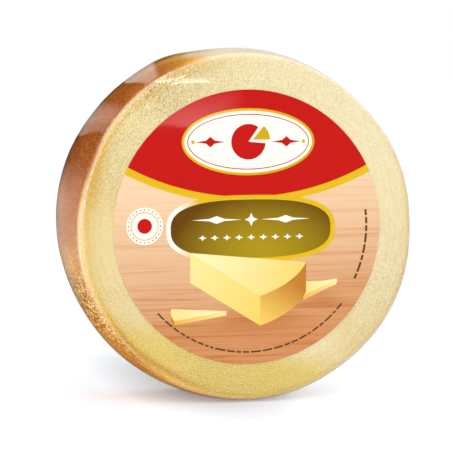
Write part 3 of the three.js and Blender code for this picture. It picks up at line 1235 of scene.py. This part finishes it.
def floor_material():
    """A white floor that burns out to pure white for the camera, but for the wheel's cast shadow and
    a soft painted shadow round its foot.
    """
    material, tree = new_material("white_floor_painted_shadow")
    seen = node(tree, "ShaderNodeLightPath").outputs["Is Camera Ray"]
    colour = mixed(tree, seen, floor_white, floor_seen)
    matt = node(tree, "ShaderNodeBsdfDiffuse", {"Color": colour})
    place = object_place(tree)
    # The painted shadow: the glow that the camera sees is gone round a place by the wheel's foot and
    # grows away from it.
    for value, operation in ((painted_shadow_centre, "SUBTRACT"), (painted_shadow_reach, "DIVIDE")):
        inputs = {0: place, 1: value}
        place = node(tree, "ShaderNodeVectorMath", inputs, operation=operation).outputs[0]
    from_painted_shadow = node(tree, "ShaderNodeVectorMath", {0: place}, operation="LENGTH").outputs["Value"]
    glow_round_painted_shadow = mixed(tree, spread(tree, from_painted_shadow, 0.0, 1.0), (0.0, 0.0, 0.0), floor_glow)
    lit = node(tree, "ShaderNodeEmission", {"Color": glow_round_painted_shadow, "Strength": seen})
    surfaced(tree, node(tree, "ShaderNodeAddShader", {0: matt.outputs[0], 1: lit.outputs[0]}))
    return material


half = floor_size / 2
floor = plane("floor", [(-half, -half, 0), (half, -half, 0), (half, half, 0), (-half, half, 0)])
floor.data.materials.append(floor_material())
floor.visible_glossy = False


def studio_sky():
    """A sky that is white to the camera, softer as light, and dim where the film mirrors it."""
    sky = bpy.data.worlds.new("studio")
    sky.use_nodes = True
    tree = sky.node_tree
    tree.nodes.clear()
    ray = node(tree, "ShaderNodeLightPath").outputs
    direction = node(tree, "ShaderNodeTexCoord").outputs["Generated"]
    up = node(tree, "ShaderNodeSeparateXYZ", {0: direction}).outputs["Z"]
    mirrored = ramp(tree, spread(tree, up, -1.0, 1.0), mirrored_sky)
    white = (1, 1, 1, 1)
    soft = node(tree, "ShaderNodeBackground", {"Color": white, "Strength": sky_light})
    seen = node(tree, "ShaderNodeBackground", {"Color": white, "Strength": 1.0})
    dim = node(tree, "ShaderNodeBackground", {"Color": mirrored, "Strength": 1.0})
    either = either_shader(tree, ray["Is Camera Ray"], soft, seen)
    either = either_shader(tree, ray["Is Glossy Ray"], either, dim)
    node(tree, "ShaderNodeOutputWorld", {"Surface": either.outputs[0]})
    return sky


bpy.context.scene.world = studio_sky()


def sun(name, direction, energy, softness, shadows=True):
    """A distant light in a direction from the wheel, some degrees wide."""
    light = bpy.data.lights.new(name, "SUN")
    light.energy = energy
    light.angle = math.radians(softness)
    light.use_shadow = shadows
    lamp = placed(name, light)
    lamp.rotation_mode = "QUATERNION"
    lamp.rotation_quaternion = Vector(direction).normalized().to_track_quat("Z", "Y")
    lamp.visible_glossy = False


sun("top", (0.42, 0.20, 0.88), 1.25, 100)
sun("key", (0.12, -0.78, 0.58), 1.32, 38)
sun("fill", (-0.95, -0.30, 0.0), 2.0, 60, shadows=False)
sun("back_fill", (0.0, 1.0, 0.0), 0.8, 4, shadows=False)

# The camera, at the eye of someone who stands a little left of the wheel and looks across at it.
camera_azimuth = math.radians(-14.4)
camera_elevation = math.radians(4.1)
camera_distance = 1.75
camera_data = bpy.data.cameras.new("camera")
camera_data.sensor_width = 36.0
camera_data.lens = 193.3
camera_data.shift_x = -0.0130
camera_data.shift_y = -0.0082
camera_data.clip_end = 100.0
camera = placed("camera", camera_data)
toward_camera = Vector(
    (
        math.sin(camera_azimuth) * math.cos(camera_elevation),
        -math.cos(camera_azimuth) * math.cos(camera_elevation),
        math.sin(camera_elevation),
    )
)
camera.location = Vector((axis_x, middle_y, axis_z)) + toward_camera * camera_distance
camera.rotation_mode = "QUATERNION"
camera.rotation_quaternion = (-toward_camera).to_track_quat("-Z", "Y")
bpy.context.scene.camera = camera


def board_material():
    """An emission material whose colour comes from the board's own mesh."""
    material, tree = new_material("board_light")
    colour = node(tree, "ShaderNodeAttribute", attribute_name="glow").outputs["Color"]
    surfaced(tree, node(tree, "ShaderNodeEmission", {"Color": colour, "Strength": 1.0}))
    return material


board_light = board_material()


def glowing_board(name, rows):
    """A board as a mesh from rows of corners, each a place and the colour of its glow. It shows
    only in the reflections on the film and the label."""
    corners = [place for row in rows for place, _ in row]
    colours = [channel for row in rows for _, colour in row for channel in (*colour, 1.0)]
    width = len(rows[0])
    faces = []
    for corner in range(len(corners) - width):
        if (corner + 1) % width:
            faces.append((corner, corner + 1, corner + width + 1, corner + width))
    mesh = bpy.data.meshes.new(name)
    mesh.from_pydata(corners, [], faces)
    mesh.attributes.new("glow", "FLOAT_COLOR", "POINT").data.foreach_set("color", colours)
    mesh.materials.append(board_light)
    board = placed(name, mesh)
    for ray in ("camera", "diffuse", "transmission", "volume_scatter", "shadow"):
        setattr(board, "visible_" + ray, False)


# Behind the wheel, a ring of boards facing it. Each bearing round the ring is mirrored by the
# same bearing of the wheel's side, so the glow of a bearing is how bright the side shines there.
ring_distance = 1.0
ring_radii = (0.0, 0.18, 0.23, 0.36, 0.44, 0.50, 0.58, 0.70, 0.87, 1.4, 3.5)
# How far each radius turns from the bearing near the middle to the far one, the degrees added to
# it for the shoulder's bend, and how bright it is.
ring_shares = (0, 0, 0, 0, 0, 0, 0.2, 0.55, 1, 1, 1)
ring_drift = (0, 0, 0, 0, 0, 0, 0, 0, 0, -0.8, -2.0)
ring_fading = (0.35, 0.35, 0.42, 0.50, 0.72, 0.88, 1.02, 1.12, 1.25, 1.6, 2.0)
board_white = (1.0, 0.97, 0.93)
board_gold = (1.0, 0.86, 0.58)
board_peach = (1.0, 0.70, 0.40)
board_orange = (1.0, 0.34, 0.07)
edge_light = (  # near the middle, for the wheel's back edge: bearings, colour, glow by radius
    (50, 104, board_white, (0.7, 0.7, 0.6, 0.5, 0.3, 0.15, 0, 0, 0, 0, 0)),
    (93, 121, board_peach, (0.6, 0.6, 0.25, 0.1, 0, 0, 0, 0, 0, 0, 0)),
    (204, 290, board_orange, (0.6, 0.6, 0.45, 0.30, 0.27, 0.26, 0.14, 0.04, 0, 0, 0)),
)
edge_light_softness = 8  # degrees over which it fades in
ring_glow = (  # bearing near the middle, bearing far out, glow, colour
    (0, 0, 0.05, board_gold),
    (40, 40, 0.45, board_white),
    (64, 64, 0.72, board_white),
    (96, 96, 0.66, board_gold),
    (106, 106, 0.05, board_gold),
    (116.8, 117.4, 0.05, board_white),
    (118.6, 119.0, 0.96, board_white),
    (127.8, 123.2, 0.98, board_white),
    (128.3, 123.7, 0.0, board_white),
    (137.0, 135.0, 0.0, board_white),
    (140.5, 138.5, 0.48, board_white),
    (144, 141.8, 0.72, board_white),
    (147, 144.5, 0.55, board_white),
    (150.1, 147.3, 0.46, board_white),
    (150.6, 147.8, 0.0, board_white),
    (160, 158, 0.06, board_white),
    (172, 172, 0.72, board_white),
    (190, 190, 0.74, board_white),
    (200, 200, 0.28, board_white),
    (209, 209, 0.06, board_white),
    (220, 220, 0.02, board_white),
    (300, 300, 0.05, board_gold),
    (360, 360, 0.05, board_gold),
)


def ring_row(centre, near, far, lit):
    """A row of the ring's corners from its middle outwards, each a place and its glow."""
    row = []
    columns = zip(ring_radii, ring_shares, ring_drift, ring_fading)
    for number, (radius, share, drift, fading) in enumerate(columns):
        turn = math.radians(near + (far - near) * share + drift)
        place = (centre.x + radius * math.cos(turn), centre.y, centre.z + radius * math.sin(turn))
        shown = lit * fading
        for low, high, colour, glows in edge_light:
            within = min(near - low, high - near) / edge_light_softness
            shown = shown + np.array(colour) * glows[number] * min(max(within, 0.0), 1.0)
        row.append((place, shown))
    return row


def ring_rows():
    """The ring's rows of corners, from bearing to bearing."""
    forward = -toward_camera
    centre = Vector((axis_x, middle_y, axis_z)) + forward * (ring_distance / forward.y)
    rows = []
    for first, second in zip(ring_glow, ring_glow[1:]):
        count = max(2, int((second[0] - first[0]) * 2))
        for share in np.linspace(0, 1, count, endpoint=second is ring_glow[-1]):
            near = first[0] + (second[0] - first[0]) * share
            far = first[1] + (second[1] - first[1]) * share
            lit = np.array(first[3]) * first[2] * (1 - share)
            lit = lit + np.array(second[3]) * second[2] * share
            rows.append(ring_row(centre, near, far, lit))
    return rows


glowing_board("boards_behind", ring_rows())

# In front and on the left, three cards that the film mirrors: a band on the label, a streak where
# the shoulder high on the left turns into the face, and a sheen down the left shoulder.
card_white = (1.0, 0.98, 0.95)
label_band = ((0.070, 0.0), (0.120, 1.2), (0.185, 2.8), (0.250, 0.0))  # place from the left, glow
band_y, band_foot, band_top = -1.0, 0.163, 0.205
mirror_distance = 0.5  # from the film to the other two cards
# Where the film shines: bearing, how far the shine's foot and its top lie past the shoulder, and
# the card's glow at each.
streak = (
    (103.5, -0.0176, -0.0136, 0.0, 0.0),
    (106.0, -0.0163, -0.0122, 7.5, 0.0),
    (112.0, -0.0125, -0.0084, 14.0, 0.0),
    (115.5, -0.0100, -0.0058, 17.0, 0.0),
    (118.5, -0.0068, -0.0030, 19.0, 2.0),
    (121.0, -0.0038, -0.0004, 16.0, 6.0),
    (122.6, -0.0018, 0.0016, 12.0, 6.0),
    (124.2, -0.0006, 0.0018, 7.0, 6.0),
)
shoulder_sheen = (
    (124.5, -0.0010, 0.0026, 0.0, 1.5),
    (139.0, -0.0020, 0.0018, 0.0, 0.8),
    (144.0, -0.0020, 0.0018, 0.0, 1.3),
    (151.0, -0.0032, 0.0006, 0.0, 0.6),
    (165.0, -0.0030, 0.0010, 0.3, 1.4),
    (180.0, -0.0024, 0.0016, 0.3, 1.5),
    (198.0, -0.0010, 0.0026, 0.0, 1.2),
    (215.0, -0.0020, 0.0018, 0.0, 0.5),
    (242.0, -0.0020, 0.0018, 0.0, 0.1),
)


def card_light(strength):
    """The colour of a card's glow."""
    return [strength * channel for channel in card_white]


def film_at(number, length):
    """A place on the smooth film, by the number of its turn and its length along the section."""
    row = film_base[number % len(film_turns)]
    return Vector([np.interp(length, film_rings, row[:, axis]) for axis in range(3)])


def mirrored_corner(bearing, past):
    """The card's corner that the film mirrors to the camera at this bearing, past the shoulder."""
    number = round(bearing / 360 * len(film_turns))
    length = front_shoulder + past
    place = film_at(number, length)
    outward = film_at(number, length + 0.0006) - film_at(number, length - 0.0006)
    along = film_at(number + 1, length) - film_at(number - 1, length)
    normal = outward.cross(along).normalized()
    sight = (place - camera.location).normalized()
    return place + (sight - 2 * sight.dot(normal) * normal) * mirror_distance


def mirrored_card(name, shine):
    """A card that the film mirrors as a given shine."""
    bearings, *columns = zip(*shine)
    rows = []
    for bearing in np.arange(bearings[0], bearings[-1] + 0.01, 360 / len(film_turns)):
        shone = [np.interp(bearing, bearings, values) for values in columns]
        foot, top, foot_glow, top_glow = shone
        row = []
        for share in (0.0, 0.25, 0.5, 0.75, 1.0):
            turned = smooth_step(0.25, 1.0, share)
            lit = foot_glow + (top_glow - foot_glow) * turned
            row.append((mirrored_corner(bearing, foot + (top - foot) * share), card_light(lit)))
        rows.append(row)
    glowing_board(name, rows)


band_rows = []
for right, lit in label_band:
    foot = ((right, band_y, band_foot), card_light(lit))
    band_rows.append([foot, ((right, band_y, band_top), card_light(0.0))])
glowing_board("card_for_label", band_rows)
mirrored_card("card_for_streak", streak)
mirrored_card("card_for_sheen", shoulder_sheen)

bpy.context.scene.view_settings.view_transform = "Standard"
